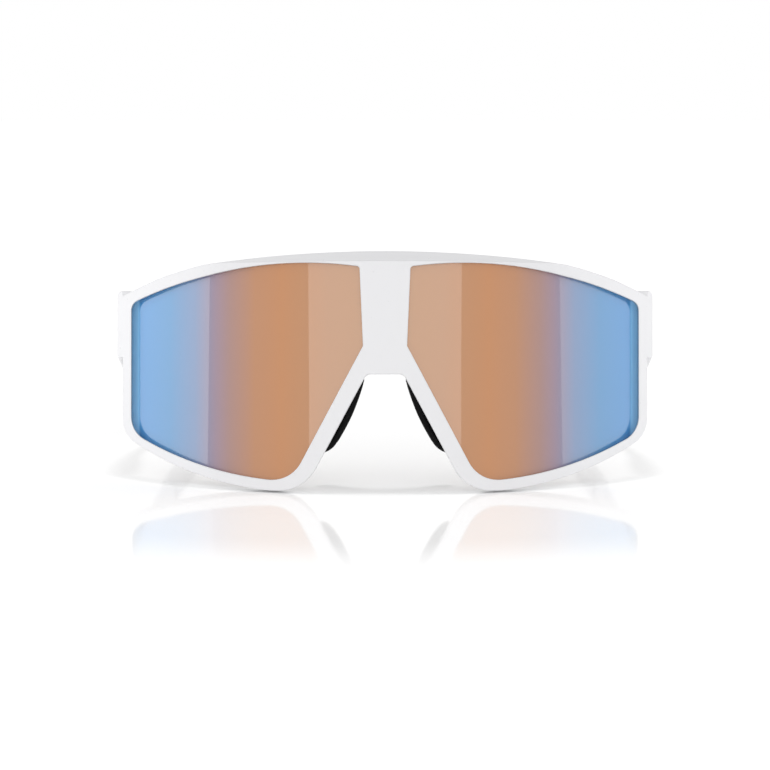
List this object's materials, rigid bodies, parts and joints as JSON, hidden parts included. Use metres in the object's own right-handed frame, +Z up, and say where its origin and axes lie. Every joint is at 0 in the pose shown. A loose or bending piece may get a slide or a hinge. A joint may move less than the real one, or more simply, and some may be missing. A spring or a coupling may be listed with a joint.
{
  "type": "wraparound sport sunglasses",
  "caption": "Wraparound sport sunglasses with a full-rim front, a mirrored cylindrical shield lens, rubber nose pads and folding temples.",
  "frame": {"origin": "middle of the footprint on the ground that the lower rims and the temple tips stand on", "axes": "+X to the wearer's left, +Y from the lens to the temple tips, +Z up, standing on the lower rims and the tips"},
  "size_m": [0.144, 0.1552, 0.0624],
  "materials": {
    "white_nylon": "gloss white moulded nylon",
    "mirror_lens": "bronze to blue mirrored polycarbonate",
    "black_nylon": "matt black moulded nylon",
    "pad_rubber": "matt black rubber",
    "tip_rubber": "soft light grey rubber",
    "steel": "bright steel"
  },
  "bodies": {
    "front": {"front_frame": "white_nylon", "shield_lens": "mirror_lens", "nose_clip": "black_nylon", "hinge_screws": "steel", "nose_pad_left": "pad_rubber", "nose_pad_right": "pad_rubber", "nose_wire_left": "steel", "nose_wire_right": "steel"},
    "temple_left": {"temple_arm_left": "white_nylon", "temple_tip_left": "tip_rubber", "tip_core_left": "steel"},
    "temple_right": {"temple_arm_right": "white_nylon", "temple_tip_right": "tip_rubber", "tip_core_right": "steel"}
  },
  "joints": [
    {"name": "fold_left", "type": "hinge", "parent": "front", "child": "temple_left", "pos_m": [0.0674, -0.03559, 0.03884], "axis": [0, 0.3046, 0.9525], "range_deg": [0, 86]},
    {"name": "fold_right", "type": "hinge", "parent": "front", "child": "temple_right", "pos_m": [-0.0674, -0.03559, 0.03884], "axis": [0, -0.3046, -0.9525], "range_deg": [0, 76]}
  ]
}
